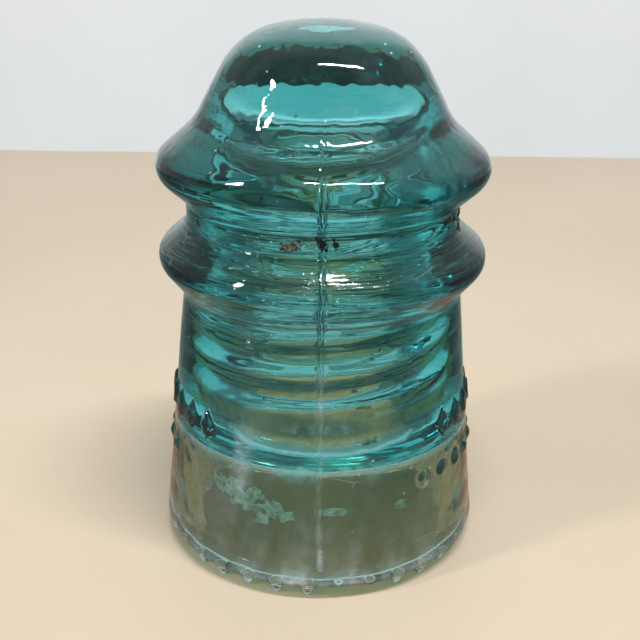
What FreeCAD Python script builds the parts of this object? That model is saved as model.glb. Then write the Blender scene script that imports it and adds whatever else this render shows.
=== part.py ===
import FreeCAD, Part
import math
import os
import Sketcher
from FreeCAD import Placement, Rotation, Vector

# A small pressed-glass pin insulator of the pony size, standing on its base.
# +Z is up through the crown, and the pin leaves along -Z.
# The origin is on the axis, level with the tips of the drip points.
# The front is -Y.  Angles round the skirt are measured from the front, positive towards +X.

# Driving dimensions, in millimetres unless the name says degrees or count.
SIZES = {
    # crown and dome
    "total_height": 90.1,
    "crown_sphere_radius": 38.0,
    "crown_corner_radius": 14.57,
    "crown_round": 13.0,
    "dome_foot_radius": 21.1,
    "dome_foot_height": 74.7,
    "dome_foot_round": 10.0,
    # upper ridge, wire groove and lower ridge: corners before rounding
    "upper_ridge_radius": 29.67,
    "upper_ridge_height": 67.3,
    "upper_ridge_round": 3.66,
    "groove_radius": 23.0,
    "groove_top_height": 61.5,
    "groove_bottom_height": 57.6,
    "groove_round": 2.0,
    "lower_ridge_radius": 29.0,
    "lower_ridge_height": 52.6,
    "lower_ridge_round": 2.9,
    # skirt
    "skirt_top_radius": 23.9,
    "skirt_top_height": 46.2,
    "skirt_top_round": 3.0,
    "rim_height": 2.2,
    "rim_outer_radius": 28.5,
    "rim_inner_radius": 23.3,
    "rim_outer_round": 1.1,
    "rim_inner_round": 2.6,
    # hollow under the skirt
    "ledge_outer_radius": 22.0,
    "ledge_height": 21.5,
    "ledge_round": 1.6,
    # pin hole: plain mouth, threaded cone, plain end
    "mouth_radius": 14.6,
    "mouth_round": 4.0,
    "mouth_top_height": 28.2,
    "crest_bottom_radius": 13.0,
    "crest_bottom_height": 30.5,
    "pin_end_radius": 11.9,
    "pin_end_height": 68.9,
    "ceiling_height": 75.2,
    "ceiling_round": 2.5,
    # thread in the pin hole: four turns to the inch, tapering 1 in 16 on the diameter
    "thread_pitch": 6.35,
    "thread_start_height": 24.0,
    "thread_length": 44.45,
    "thread_taper_degrees": 1.79,
    "thread_root_radius": 14.58,
    "thread_root_width": 1.6,
    "thread_inner_radius": 12.2,
    "thread_inner_width": 6.8,
    # drip points round the rim
    "drip_count": 32,
    "drip_first_degrees": -3.9,
    "drip_circle_radius": 26.4,
    "drip_base_radius": 1.6,
    "drip_tip_radius": 0.45,
    "drip_root_height": 2.8,
    # raised plain marks on the skirt: their faces stand clear of the glass by the relief
    "mark_relief": 0.6,
    "mark_root_depth": 1.0,
    "mark_step_degrees": 10.5,
    "upper_row_height": 27.2,
    "lozenge_tall": 5.0,
    "lozenge_wide": 3.2,
    "right_lozenge_first_degrees": 52.0,
    "left_lozenge_first_degrees": -46.0,
    "lozenge_count": 5,
    "lower_row_height": 18.9,
    "dot_radius": 1.7,
    "right_dot_first_degrees": 40.0,
    "right_dot_count": 6,
    "left_dot_first_degrees": -71.0,
    "left_dot_count": 3,
    # deposits
    "rust_thickness": 0.15,
    "rust_speck_radius": 0.55,
    "scale_thickness": 0.12,
    "scale_patch_radius": 1.9,
}

# Rust specks in the bottom of the wire groove, each as degrees round the groove and height.
RUST_SPECKS = [
    (-59.5, 59.9),
    (-13.0, 59.4),
    (-10.0, 59.8),
    (-1.4, 59.6),
    (2.6, 59.7),
    (63.5, 59.8),
    (67.0, 59.3),
]

# Hard-water scale on the inner wall of the skirt, each patch as degrees round and height.
SCALE_PATCHES = [
    (-39.0, 16.4),
    (-31.5, 15.5),
    (-22.0, 13.4),
    (-9.0, 14.0),
    (5.5, 14.2),
]

doc = FreeCAD.newDocument("glass_insulator")


def make_sheet():
    sheet = doc.addObject("Spreadsheet::Sheet", "Sizes")
    for row, (name, value) in enumerate(SIZES.items(), start=1):
        sheet.set(f"A{row}", name)
        sheet.set(f"B{row}", str(value))
        sheet.setAlias(f"B{row}", name)
    doc.recompute()
    return sheet


sheet = make_sheet()


def size(name):
    return float(getattr(sheet, name))


# ---------------------------------------------------------------- sketch helpers


def body_origin(body, role):
    return next(f for f in body.Origin.OriginFeatures if f.Role == role)


def new_sketch(body, name, plane_role):
    sketch = body.newObject("Sketcher::SketchObject", name)
    sketch.AttachmentSupport = [(body_origin(body, plane_role), "")]
    sketch.MapMode = "FlatFace"
    return sketch


def bind(sketch, constraint, label, cell):
    index = sketch.addConstraint(constraint)
    sketch.renameConstraint(index, label)
    sketch.setExpression(f"Constraints.{label}", cell)


def tie_end(sketch, line, end, across=None, up=None):
    """Ties one end of a sketch line to cells of the sheet."""
    here = sketch.getPoint(line, end)
    if across:
        distance = Sketcher.Constraint("DistanceX", -1, 1, line, end, here.x)
        bind(sketch, distance, f"{across}_{line}", f"Sizes.{across}")
    if up:
        distance = Sketcher.Constraint("DistanceY", -1, 1, line, end, here.y)
        bind(sketch, distance, f"{up}_{line}", f"Sizes.{up}")


def closed_chain(sketch, points):
    """Draws a closed ring of lines joined end to end."""
    ends = points[1:] + points[:1]
    lines = [sketch.addGeometry(Part.LineSegment(a, b)) for a, b in zip(points, ends)]
    for before, after in zip(lines, lines[1:] + lines[:1]):
        sketch.addConstraint(Sketcher.Constraint("Coincident", before, 2, after, 1))
    return lines


# ---------------------------------------------------------------- turned glass

# Corners of the half section, first down the outside, then up the hollow and the pin hole.
OUTSIDE = [
    ("dome_foot_radius", "dome_foot_height"),
    ("upper_ridge_radius", "upper_ridge_height"),
    ("groove_radius", "groove_top_height"),
    ("groove_radius", "groove_bottom_height"),
    ("lower_ridge_radius", "lower_ridge_height"),
    ("skirt_top_radius", "skirt_top_height"),
    ("rim_outer_radius", "rim_height"),
]
INSIDE = [
    ("rim_inner_radius", "rim_height"),
    ("ledge_outer_radius", "ledge_height"),
    ("mouth_radius", "ledge_height"),
    ("mouth_radius", "mouth_top_height"),
    ("crest_bottom_radius", "crest_bottom_height"),
    ("pin_end_radius", "pin_end_height"),
    ("pin_end_radius", "ceiling_height"),
]

# Fillets on the turned glass: name, radius, and the corners of the half section that it rounds.
ROUNDED = [
    ("DomeFootRound", "dome_foot_round", [("dome_foot_radius", "dome_foot_height")]),
    ("UpperRidgeNose", "upper_ridge_round", [("upper_ridge_radius", "upper_ridge_height")]),
    ("LowerRidgeNose", "lower_ridge_round", [("lower_ridge_radius", "lower_ridge_height")]),
    ("GrooveRounds", "groove_round", [
        ("groove_radius", "groove_top_height"),
        ("groove_radius", "groove_bottom_height"),
    ]),
    ("SkirtTopRound", "skirt_top_round", [("skirt_top_radius", "skirt_top_height")]),
    ("RimOuterRound", "rim_outer_round", [("rim_outer_radius", "rim_height")]),
    ("RimInnerRound", "rim_inner_round", [("rim_inner_radius", "rim_height")]),
    ("LedgeRound", "ledge_round", [("ledge_outer_radius", "ledge_height")]),
    ("MouthRound", "mouth_round", [("mouth_radius", "ledge_height")]),
    ("CeilingRound", "ceiling_round", [("pin_end_radius", "ceiling_height")]),
]


def crown_corner_height():
    drop = math.sqrt(size("crown_sphere_radius") ** 2 - size("crown_corner_radius") ** 2)
    return size("total_height") - size("crown_sphere_radius") + drop


def section_sketch(body):
    """The half section: a crown arc ending on the axis, then straight lines between the corners."""
    sketch = new_sketch(body, "HalfSection", "XZ_Plane")
    centre = Vector(0, size("total_height") - size("crown_sphere_radius"), 0)
    crown = Vector(size("crown_corner_radius"), crown_corner_height(), 0)
    circle = Part.Circle(centre, Vector(0, 0, 1), size("crown_sphere_radius"))
    start_angle = math.atan2(crown.y - centre.y, crown.x)
    arc = sketch.addGeometry(Part.ArcOfCircle(circle, start_angle, math.pi / 2))

    corners = OUTSIDE + INSIDE
    top = Vector(0, size("total_height"), 0)
    ceiling = Vector(0, size("ceiling_height"), 0)
    points = [crown] + [Vector(size(across), size(up), 0) for across, up in corners] + [ceiling, top]
    lines = [sketch.addGeometry(Part.LineSegment(a, b)) for a, b in zip(points, points[1:])]

    sketch.addConstraint(Sketcher.Constraint("PointOnObject", arc, 3, -2))
    sketch.addConstraint(Sketcher.Constraint("PointOnObject", arc, 2, -2))
    sketch.addConstraint(Sketcher.Constraint("Coincident", arc, 1, lines[0], 1))
    for before, after in zip(lines, lines[1:]):
        sketch.addConstraint(Sketcher.Constraint("Coincident", before, 2, after, 1))
    sketch.addConstraint(Sketcher.Constraint("Coincident", lines[-1], 2, arc, 2))
    sketch.addConstraint(Sketcher.Constraint("PointOnObject", lines[-2], 2, -2))

    radius = Sketcher.Constraint("Radius", arc, size("crown_sphere_radius"))
    bind(sketch, radius, "crown_sphere", "Sizes.crown_sphere_radius")
    tie_end(sketch, lines[0], 1, across="crown_corner_radius")
    for line, (across, up) in zip(lines, corners):
        tie_end(sketch, line, 2, across, up)
    tie_end(sketch, lines[-2], 2, up="ceiling_height")
    tie_end(sketch, lines[-1], 2, up="total_height")
    return sketch


def ring_edge(shape, radius, height):
    """The name of the circular edge round the axis at this radius and height."""
    for number, edge in enumerate(shape.Edges, start=1):
        if edge.Degenerated or not isinstance(edge.Curve, Part.Circle):
            continue
        ring = edge.Curve
        on_axis = math.hypot(ring.Center.x, ring.Center.y) < 0.01
        if on_axis and abs(ring.Center.z - height) < 0.01 and abs(ring.Radius - radius) < 0.01:
            return f"Edge{number}"
    raise RuntimeError(f"no ring edge of radius {radius} at height {height}")


def round_rings(body, name, radius_cell, corners):
    """Rounds the ring edges at these corners with one radius from the sheet."""
    base = body.Tip
    rounding = body.newObject("PartDesign::Fillet", name)
    rounding.Base = (base, [ring_edge(base.Shape, radius, height) for radius, height in corners])
    rounding.Radius = size(radius_cell)
    rounding.setExpression("Radius", f"Sizes.{radius_cell}")
    doc.recompute()


def turn_glass(body):
    sketch = section_sketch(body)
    turned = body.newObject("PartDesign::Revolution", "Turned")
    turned.Profile = sketch
    turned.ReferenceAxis = (sketch, ["V_Axis"])
    turned.Angle = 360.0
    doc.recompute()
    round_rings(body, "CrownRound", "crown_round", [(size("crown_corner_radius"), crown_corner_height())])
    for name, radius_cell, corners in ROUNDED:
        round_rings(body, name, radius_cell, [(size(across), size(up)) for across, up in corners])


# ---------------------------------------------------------------- thread, drip points, marks


def cut_thread(body):
    """A right-hand helical groove, cut outwards from the cone that its crests lie on."""
    sketch = new_sketch(body, "ThreadProfile", "XZ_Plane")
    middle = size("thread_start_height")
    inner = size("thread_inner_radius")
    root = size("thread_root_radius")
    half_inner = size("thread_inner_width") / 2
    half_root = size("thread_root_width") / 2
    lines = closed_chain(sketch, [
        Vector(inner, middle - half_inner, 0),
        Vector(root, middle - half_root, 0),
        Vector(root, middle + half_root, 0),
        Vector(inner, middle + half_inner, 0),
    ])
    sketch.addConstraint(Sketcher.Constraint("Vertical", lines[1]))
    sketch.addConstraint(Sketcher.Constraint("Vertical", lines[3]))
    tie_end(sketch, lines[0], 1, across="thread_inner_radius")
    tie_end(sketch, lines[1], 1, across="thread_root_radius")
    for line, end, formula in (
        (lines[0], 1, "thread_start_height - Sizes.thread_inner_width / 2"),
        (lines[3], 1, "thread_start_height + Sizes.thread_inner_width / 2"),
        (lines[1], 1, "thread_start_height - Sizes.thread_root_width / 2"),
        (lines[1], 2, "thread_start_height + Sizes.thread_root_width / 2"),
    ):
        level = Sketcher.Constraint("DistanceY", -1, 1, line, end, sketch.getPoint(line, end).y)
        bind(sketch, level, f"level_{line}_{end}", f"Sizes.{formula}")
    groove = body.newObject("PartDesign::SubtractiveHelix", "Thread")
    groove.Profile = sketch
    groove.ReferenceAxis = (sketch, ["V_Axis"])
    groove.Mode = "pitch-height-angle"
    groove.setExpression("Pitch", "Sizes.thread_pitch")
    groove.setExpression("Height", "Sizes.thread_length")
    groove.setExpression("Angle", "-Sizes.thread_taper_degrees")
    doc.recompute()


def repeat_round(body, name, feature, count_cell, sweep, reverse=False):
    """Repeats a feature round the axis; sweep is the angle from the first to the last."""
    pattern = body.newObject("PartDesign::PolarPattern", name)
    pattern.Originals = [feature]
    pattern.Axis = (body_origin(body, "Z_Axis"), [""])
    pattern.Reversed = reverse
    pattern.setExpression("Angle", sweep)
    pattern.setExpression("Occurrences", f"Sizes.{count_cell}")
    body.Tip = pattern
    doc.recompute()


def add_drip_points(body):
    """Blunt cones under the rim, so that water drips off instead of creeping inside."""
    cone = body.newObject("PartDesign::AdditiveCone", "DripPoint")
    cone.AttachmentSupport = [(body_origin(body, "XY_Plane"), "")]
    cone.MapMode = "FlatFace"
    cone.setExpression("Radius1", "Sizes.drip_tip_radius")
    cone.setExpression("Radius2", "Sizes.drip_base_radius")
    cone.setExpression("Height", "Sizes.drip_root_height")
    cone.setExpression("AttachmentOffset.Base.x", "Sizes.drip_circle_radius * sin(Sizes.drip_first_degrees)")
    cone.setExpression("AttachmentOffset.Base.y", "-Sizes.drip_circle_radius * cos(Sizes.drip_first_degrees)")
    doc.recompute()
    repeat_round(body, "DripPoints", cone, "drip_count", "360")


def skirt_radius(height):
    fall = (size("skirt_top_height") - height) / (size("skirt_top_height") - size("rim_height"))
    return size("skirt_top_radius") + fall * (size("rim_outer_radius") - size("skirt_top_radius"))


def skirt_lean():
    """How far the skirt's wall leans from upright, in degrees."""
    spread = size("rim_outer_radius") - size("skirt_top_radius")
    return math.degrees(math.atan2(spread, size("skirt_top_height") - size("rim_height")))


def mark_sketch(body, name, height_cell, first_cell):
    """A sketch lying on the face of a raised mark, square to the skirt's wall."""
    sketch = new_sketch(body, name, "XZ_Plane")
    height = size(height_cell)
    degrees = size(first_cell)
    reach = skirt_radius(height) + size("mark_relief")
    turn = Rotation(Vector(0, 1, 0), degrees)
    facing = turn.multiply(Rotation(Vector(1, 0, 0), -skirt_lean()))
    place = turn.multVec(Vector(0, 0, reach)) + Vector(0, height, 0)
    sketch.AttachmentOffset = Placement(place, facing)
    return sketch


def raise_row(body, name, sketch, count_cell, reverse):
    """Pads a mark from inside the glass out to its sketch, then repeats it along its row."""
    before = body.Tip.Shape.Volume
    mark = body.newObject("PartDesign::Pad", name)
    mark.Profile = sketch
    mark.Reversed = True
    mark.setExpression("Length", "Sizes.mark_relief + Sizes.mark_root_depth")
    doc.recompute()
    if mark.Shape.Volume <= before:
        raise RuntimeError(f"{name} adds nothing to the glass")
    sweep = f"Sizes.mark_step_degrees * (Sizes.{count_cell} - 1)"
    repeat_round(body, f"{name}Row", mark, count_cell, sweep, reverse)


def add_lozenges(body, name, first_cell, reverse):
    sketch = mark_sketch(body, f"{name}Outline", "upper_row_height", first_cell)
    half_tall = size("lozenge_tall") / 2
    half_wide = size("lozenge_wide") / 2
    lines = closed_chain(sketch, [
        Vector(half_wide, 0, 0),
        Vector(0, half_tall, 0),
        Vector(-half_wide, 0, 0),
        Vector(0, -half_tall, 0),
    ])
    for line, axis in zip(lines, (-1, -2, -1, -2)):
        sketch.addConstraint(Sketcher.Constraint("PointOnObject", line, 1, axis))
    wide = Sketcher.Constraint("DistanceX", lines[2], 1, lines[0], 1, size("lozenge_wide"))
    tall = Sketcher.Constraint("DistanceY", lines[3], 1, lines[1], 1, size("lozenge_tall"))
    bind(sketch, wide, "wide", "Sizes.lozenge_wide")
    bind(sketch, tall, "tall", "Sizes.lozenge_tall")
    sketch.addConstraint(Sketcher.Constraint("Equal", lines[0], lines[1]))
    sketch.addConstraint(Sketcher.Constraint("Equal", lines[1], lines[2]))
    raise_row(body, name, sketch, "lozenge_count", reverse)


def add_dots(body, name, first_cell, count_cell, reverse):
    sketch = mark_sketch(body, f"{name}Outline", "lower_row_height", first_cell)
    ring = sketch.addGeometry(Part.Circle(Vector(0, 0, 0), Vector(0, 0, 1), size("dot_radius")))
    sketch.addConstraint(Sketcher.Constraint("Coincident", ring, 3, -1, 1))
    bind(sketch, Sketcher.Constraint("Radius", ring, size("dot_radius")), "dot", "Sizes.dot_radius")
    raise_row(body, name, sketch, count_cell, reverse)


def build_glass():
    body = doc.addObject("PartDesign::Body", "GlassBody")
    body.Label = "glass_body"
    turn_glass(body)
    cut_thread(body)
    add_drip_points(body)
    add_lozenges(body, "RightLozenges", "right_lozenge_first_degrees", reverse=False)
    add_lozenges(body, "LeftLozenges", "left_lozenge_first_degrees", reverse=True)
    add_dots(body, "RightDots", "right_dot_first_degrees", "right_dot_count", reverse=False)
    add_dots(body, "LeftDots", "left_dot_first_degrees", "left_dot_count", reverse=True)
    return body


# ---------------------------------------------------------------- deposits on the glass


def radial_plugs(name, spots, radius_cell, reach):
    """Round plugs pointing out from the axis, one at each spot, to be cut down to a skin."""
    plugs = []
    for number, (degrees, height) in enumerate(spots, start=1):
        plug = doc.addObject("Part::Cylinder", f"{name}{number}")
        plug.setExpression("Radius", f"Sizes.{radius_cell}")
        plug.Height = reach
        outward = Vector(math.sin(math.radians(degrees)), -math.cos(math.radians(degrees)), 0)
        plug.Placement = Placement(Vector(0, 0, height), Rotation(Vector(0, 0, 1), outward))
        plugs.append(plug)
    group = doc.addObject("Part::MultiFuse", name)
    group.Shapes = plugs
    return group


def cone_skin(name, low, high, low_radius, high_radius, thickness):
    """A thin conical shell; its outer face has these radii at the low and high heights."""
    outer = doc.addObject("Part::Cone", f"{name}Outer")
    inner = doc.addObject("Part::Cone", f"{name}Inner")
    for cone, less in ((outer, ""), (inner, f" - {thickness}")):
        cone.setExpression("Radius1", low_radius + less)
        cone.setExpression("Radius2", high_radius + less)
        cone.setExpression("Height", f"{high} - {low}")
        cone.setExpression("Placement.Base.z", low)
    skin = doc.addObject("Part::Cut", name)
    skin.Base = outer
    skin.Tool = inner
    return skin


def groove_skin():
    """A thin sleeve on the straight bottom of the wire groove."""
    outer = doc.addObject("Part::Cylinder", "RustSkinOuter")
    inner = doc.addObject("Part::Cylinder", "RustSkinInner")
    for sleeve, more in ((outer, " + Sizes.rust_thickness"), (inner, "")):
        sleeve.setExpression("Radius", "Sizes.groove_radius" + more)
        sleeve.setExpression("Height", "Sizes.groove_top_height - Sizes.groove_bottom_height")
        sleeve.setExpression("Placement.Base.z", "Sizes.groove_bottom_height")
    skin = doc.addObject("Part::Cut", "RustSkin")
    skin.Base = outer
    skin.Tool = inner
    return skin


def build_deposit(label, plugs, skin):
    deposit = doc.addObject("Part::Common", label)
    deposit.Base = plugs
    deposit.Tool = skin
    deposit.Label = label
    doc.recompute()
    return deposit


def build_rust():
    plugs = radial_plugs("RustPlug", RUST_SPECKS, "rust_speck_radius", 2 * size("groove_radius"))
    return build_deposit("rust_specks", plugs, groove_skin())


def build_scale():
    skin = cone_skin(
        "ScaleSkin",
        "Sizes.rim_height",
        "Sizes.ledge_height",
        "Sizes.rim_inner_radius",
        "Sizes.ledge_outer_radius",
        "Sizes.scale_thickness",
    )
    plugs = radial_plugs("ScalePlug", SCALE_PATCHES, "scale_patch_radius", 2 * size("rim_inner_radius"))
    return build_deposit("scale_film", plugs, skin)


# ---------------------------------------------------------------- build, check and write


def check_document():
    doc.recompute()
    for item in doc.Objects:
        if "Invalid" in item.State or "Error" in item.State:
            raise RuntimeError(f"{item.Label} did not compute: {item.State}")


def write_part(part):
    shape = part.Shape
    if shape.isNull() or not shape.isValid():
        raise RuntimeError(f"{part.Label} has no valid shape")
    shape.exportStep(f"parts/{part.Label}.step")
    print(part.Label, "solids", len(shape.Solids), "volume", round(shape.Volume, 2))


os.makedirs("parts", exist_ok=True)
parts = [build_glass(), build_rust(), build_scale()]
check_document()
for finished in parts:
    write_part(finished)
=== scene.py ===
import math

import bpy
import numpy as np
from mathutils import Matrix, Vector


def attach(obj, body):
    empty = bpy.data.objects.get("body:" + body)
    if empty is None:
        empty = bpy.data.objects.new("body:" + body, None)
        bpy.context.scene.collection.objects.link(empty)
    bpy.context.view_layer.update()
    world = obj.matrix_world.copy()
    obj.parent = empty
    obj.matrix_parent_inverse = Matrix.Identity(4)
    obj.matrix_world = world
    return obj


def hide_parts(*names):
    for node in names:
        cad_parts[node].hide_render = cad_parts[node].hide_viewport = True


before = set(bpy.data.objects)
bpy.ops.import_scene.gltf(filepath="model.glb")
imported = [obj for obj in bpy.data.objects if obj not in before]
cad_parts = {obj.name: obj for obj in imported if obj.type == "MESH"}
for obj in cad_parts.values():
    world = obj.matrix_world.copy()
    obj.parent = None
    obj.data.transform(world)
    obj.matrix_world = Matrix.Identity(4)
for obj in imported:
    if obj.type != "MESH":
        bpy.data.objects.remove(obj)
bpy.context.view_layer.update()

# ---------------------------------------------------------------- sizes, in millimetres

MM = 0.001

HEIGHT = 90.1
# The crown is a shallow sphere out to its corner, and the corner is rounded into the dome's straight side.
CROWN_SPHERE = 38.0
CROWN_CORNER = 14.57
CROWN_ROUND = 13.0
# Corners of the outside, from the dome's foot to the rim: radius, height, rounding.
DOME_FOOT = (21.1, 74.7, 10.0)
UPPER_RIDGE = (29.67, 67.3, 3.66)
GROOVE_TOP = (23.0, 61.5, 2.0)
GROOVE_BOTTOM = (23.0, 57.6, 2.0)
LOWER_RIDGE = (29.0, 52.6, 2.9)
SKIRT_TOP = (23.9, 46.2, 3.0)
RIM_OUTER = (28.5, 2.2, 1.1)
# Corners of the hollow, from the rim to the ceiling of the pin hole.
RIM_INNER = (23.3, 2.2, 2.6)
LEDGE_OUTER = (22.0, 21.5, 1.6)
LEDGE_INNER = (14.6, 21.5, 4.0)
MOUTH_TOP = (14.6, 28.2, 0.8)
CREST_BOTTOM = (13.0, 30.5, 0.8)
PIN_END = (11.9, 68.9, 1.0)
CEILING = (11.9, 75.2, 2.5)

THREAD_PITCH = 6.35
THREAD_START = 24.0
THREAD_TURNS = 7.1
THREAD_DEPTH = 1.55
# Half widths of the thread's groove at its root and at its mouth.
THREAD_ROOT = 0.5
THREAD_MOUTH = 2.45

DRIP_COUNT = 32
DRIP_FIRST = -3.9
DRIP_CIRCLE = 26.4
DRIP_BASE = 1.75
DRIP_TIP = 0.3
# Two drip points at the front are worn: their numbers from the first, and how much of their length is left.
WORN_DRIPS = {1: 0.2, 2: 0.35}

MARK_RELIEF = 0.6
# The skirt's radius at the raised marks.
MARK_RADIUS = 26.6
# Rows of raised marks: first mark in degrees, step in degrees, count, height, half width, half height.
LOZENGE_ROWS = [(52.0, 10.5, 5, 27.2, 1.6, 2.5), (-46.0, -10.5, 5, 27.2, 1.6, 2.5)]
DOT_ROWS = [(40.0, 10.5, 6, 18.9, 1.7, 1.7), (-71.0, -10.5, 3, 18.9, 1.7, 1.7)]

# A spindle-shaped blemish on the front seam, just above the rim: distance to the right of the front, height,
# half width, half height.
SPINDLE = (0.3, 7.0, 0.75, 2.6)

# A crazed bruise on the upper ridge: degrees, height, and how far it fades out in radians and in height.
BRUISE = (47, 68, 0.13, 5.5)
# The dome's side ripples most at the first of these angles and less at the second: radians from the front.
RIPPLED = (-0.6, 0.5)

# Air bubbles in the glass: degrees, radius from the axis, height, half width, half height. The first lies
# in the spindle.
BUBBLES = [
    (0.6, 27.0, 7.2, 0.50, 1.9),
    (-52, 26.0, 66.4, 0.35, 0.45), (28, 25.4, 67.6, 0.25, 0.3), (71, 25.8, 65.8, 0.40, 0.5),
    (-12, 19.5, 78.0, 0.25, 0.3), (34, 13.0, 82.5, 0.30, 0.4), (-40, 15.0, 81.0, 0.22, 0.3),
    (-66, 25.2, 52.2, 0.35, 0.5), (47, 25.0, 53.0, 0.28, 0.4), (22, 19.8, 40.0, 0.30, 0.4),
    (-24, 20.5, 33.0, 0.25, 0.35), (12, 25.3, 11.5, 0.25, 0.3), (-55, 25.4, 8.0, 0.30, 0.4),
    (110, 25.5, 66.0, 0.40, 0.5), (165, 20.5, 38.0, 0.35, 0.45), (-140, 25.2, 12.0, 0.30, 0.4),
    (-120, 25.0, 52.5, 0.35, 0.45),
]
BUBBLE_RINGS = 9
BUBBLE_SIDES = 14

# Patches of deposit: degrees, height, half width, half height, how ragged, seed. The rust is in the wire
# groove and the scale on the hollow's wall.
RUST_PATCHES = [
    (-12.6, 59.4, 1.5, 0.9, 0.75, 11), (-9.4, 59.8, 1.1, 1.1, 0.75, 12), (-1.2, 59.9, 0.8, 1.4, 0.8, 13),
    (2.4, 59.7, 1.3, 0.9, 0.75, 14), (4.4, 59.9, 0.7, 0.7, 0.8, 15), (-59.5, 59.9, 0.8, 0.9, 0.8, 16),
    (62.0, 60.2, 2.2, 2.0, 0.8, 17), (73.0, 59.4, 2.6, 1.9, 0.8, 18), (140.0, 59.6, 1.6, 0.9, 0.8, 19),
    (-150.0, 59.5, 1.3, 0.9, 0.8, 20),
]
SCALE_PATCHES = [
    (-39.0, 16.2, 3.6, 1.6, 0.5, 31), (-31.0, 15.2, 3.4, 2.0, 0.5, 32), (-24.0, 13.4, 2.4, 1.9, 0.5, 33),
    (-16.5, 14.2, 1.9, 1.7, 0.5, 34), (-12.5, 13.0, 1.3, 1.1, 0.5, 35), (5.5, 14.3, 2.8, 0.9, 0.05, 36),
    (34.0, 14.0, 1.6, 1.0, 0.6, 37), (150.0, 14.5, 3.0, 1.8, 0.5, 38),
]
# Each deposit's cell size and thickness.
RUST_CELL, RUST_THICK = 0.11, 0.16
SCALE_CELL, SCALE_THICK = 0.17, 0.12
# How deep a crust is sunk into the glass, its thickness at the edge as a share of that inside, where in a
# patch's field its edge lies, and how far past the patch's half sizes the cells reach.
CRUST_BURIED = 0.08
CRUST_EDGE = 0.12
PATCH_EDGE = 0.08
PATCH_MARGIN = 1.3

# Spacing of the mesh's rows along the half section: up to a height, so far apart. Close rows carry the drip
# points, the raised marks, the turning lines and the thread.
OUTSIDE_ROWS = [(4.4, 0.22), (16.5, 0.7), (30.5, 0.33), (43.5, 0.7), (66.5, 0.27), (DOME_FOOT[1], 0.4),
                (HEIGHT, 0.6)]
INSIDE_ROWS = [(4.4, 0.22), (LEDGE_OUTER[1] - 1.5, 0.8), (CEILING[1] - 0.01, 0.42), (HEIGHT, 0.8)]
# The first row's distance from the crown's middle, and the last one's from the ceiling's middle.
FIRST_ROW = 0.35
LAST_ROW = 0.4
# Columns of the mesh per degree: everywhere, then how many more at the raised marks and at the seams.
COLUMNS = 1.1
MARK_COLUMNS = 0.5
SEAM_COLUMNS = 7.0
# Degrees from the front between which the marks lie, and how far a seam's columns reach from its middle.
MARK_STRETCH = (36, 96)
SEAM_REACH = 1.5
# Below this height there are twice as many columns, for the drip points.
FINE_BELOW = 4.2

# ---------------------------------------------------------------- looks, with lengths in metres

GLASS_COLOUR = (0.12, 0.76, 0.762, 1)
GLASS_DENSITY = 85.0
GLASS_IOR = 1.52
# What the glass lets through to shadows and to light bounced off the floor.
SHADOW_TINT = (0.57, 0.56, 0.47, 1)
# Colour of the dust, also used for the painted sheen, glints, reflection and rim band on the glass.
DUST_AND_PAINTED_LIGHT_COLOUR = (0.56, 0.66, 0.69, 1)
# Each surface of the stage: two close shades for its plain mottle, its near and far shades as the glass
# refracts them, and how much it glows.
FLOOR = ((0.40, 0.33, 0.24), (0.44, 0.36, 0.27), (0.54, 0.25, 0.085), (0.125, 0.19, 0.165), 0.0)
WALL = ((0.575, 0.57, 0.58), (0.615, 0.61, 0.62), (0.58, 0.59, 0.60), (0.58, 0.59, 0.60), 0.16)
STAGE_HALF_WIDTH = 1.5
STAGE_FRONT = -1.5
STAGE_BACK = 0.326
WALL_TOP = 1.2
# The studio's light from behind the camera and from behind the object.
WORLD_DARK = (0.03, 0.045, 0.06)
WORLD_BRIGHT = (0.6, 0.6, 0.6)
# Soft boxes: name, place, size, watts, and whether the long side is kept level along X.
LAMPS = [("overhead", (0.17, -0.25, 0.9), (0.58, 0.035), 14, True),
         ("window", (-0.7, -0.35, 0.6), (0.09, 0.24), 5, False)]
# The height that the lamps are aimed at.
LAMP_TARGET = 0.05

# The camera as fitted to the photo. The lens and the sensor are in millimetres, the angles in degrees.
CAMERA_PLACE = (0, -0.16104, 0.10222)
CAMERA_DOWN = 21.511
CAMERA_ROLL = 0.7225
SENSOR = 36.0
LENS = 54.815625
LENS_SHIFT = -0.002390625

# ---------------------------------------------------------------- the turned outline


def rounded(before, corner, after, radius):
    """Points along the arc that rounds a corner between two straight runs."""
    back = (before - corner).normalized()
    ahead = (after - corner).normalized()
    half = back.angle(ahead) / 2
    reach = radius / math.tan(half)
    centre = corner + (back + ahead).normalized() * radius / math.sin(half)
    start = corner + back * reach - centre
    end = corner + ahead * reach - centre
    sweep = math.atan2(start.x * end.y - start.y * end.x, start.dot(end))
    return [centre + Matrix.Rotation(turn, 2) @ start for turn in np.linspace(0, sweep, 25)]


def crown_arcs(foot):
    """The nearly flat crown and the shoulder that rounds it into the dome's straight side."""
    centre = Vector((0, HEIGHT - CROWN_SPHERE))
    side_top = Vector((CROWN_CORNER, centre.y + math.sqrt(CROWN_SPHERE**2 - CROWN_CORNER**2)))
    along = (foot - side_top).normalized()
    inward = Vector((along.y, -along.x))
    offset = side_top + inward * CROWN_ROUND - centre
    reach = CROWN_SPHERE - CROWN_ROUND
    slide = -offset.dot(along) - math.sqrt(offset.dot(along) ** 2 - offset.length_squared + reach**2)
    shoulder = centre + offset + along * slide
    top_angle = math.atan2(shoulder.y - centre.y, shoulder.x)
    side_angle = math.atan2(-inward.y, -inward.x)
    cap = [centre + CROWN_SPHERE * Vector((math.cos(a), math.sin(a)))
           for a in np.linspace(math.pi / 2, top_angle, 25)]
    arc = [shoulder + CROWN_ROUND * Vector((math.cos(a), math.sin(a)))
           for a in np.linspace(top_angle, side_angle, 25)]
    return cap + arc[1:]


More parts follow.
